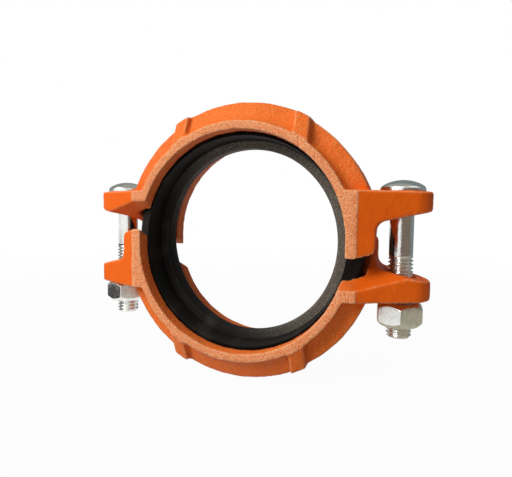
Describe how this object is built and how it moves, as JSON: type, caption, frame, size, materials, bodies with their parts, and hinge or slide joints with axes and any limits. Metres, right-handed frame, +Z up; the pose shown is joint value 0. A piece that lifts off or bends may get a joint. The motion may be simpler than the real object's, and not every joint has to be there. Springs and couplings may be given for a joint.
{
  "type": "grooved pipe coupling",
  "caption": "Grooved pipe coupling: split cast housing around a rubber gasket, drawn together by track bolts and heavy hex nuts at its side pads.",
  "frame": {"origin": "middle of the bore, on the pipe's axis, half way along the coupling's width", "axes": "+Y along the pipe, away from the face that the picture shows; +Z up, along the bolts towards their heads; +X to the right in the picture"},
  "size_m": [0.1966, 0.0532, 0.1506],
  "materials": {
    "paint": "orange enamel on a sand-cast ductile iron surface",
    "gasket_rubber": "matte moulded rubber",
    "zinc_plate": "bright zinc plated steel"
  },
  "bodies": {
    "lower": {"lower_housing": "paint"},
    "upper": {"upper_housing": "paint", "left_bolt": "zinc_plate", "right_bolt": "zinc_plate"},
    "seal": {"gasket": "gasket_rubber"},
    "left_nut": {"left_nut": "zinc_plate"},
    "right_nut": {"right_nut": "zinc_plate"}
  },
  "joints": [
    {"name": "closing", "type": "slide", "parent": "lower", "child": "upper", "axis": [0, 0, -1], "range_m": [0, 0.00782]},
    {"name": "right_nut_turn", "type": "hinge", "parent": "lower", "child": "right_nut", "pos_m": [0.0834, 0, -0.0278], "axis": [0, 0, 1], "range_deg": [0, 1441]},
    {"name": "left_nut_turn", "type": "hinge", "parent": "lower", "child": "left_nut", "pos_m": [-0.0834, 0, -0.0278], "axis": [0, 0, 1], "range_deg": [0, 1441]},
    {"name": "gasket_centring", "type": "slide", "parent": "lower", "child": "seal", "axis": [0, 0, -1], "range_m": [0, 0.00391]}
  ],
  "couplings": [
    {"joint": "right_nut_turn", "follows": "closing", "rad_per_m": 3215.8},
    {"joint": "left_nut_turn", "follows": "closing", "rad_per_m": 3215.8},
    {"joint": "gasket_centring", "follows": "closing", "ratio": 0.5}
  ]
}
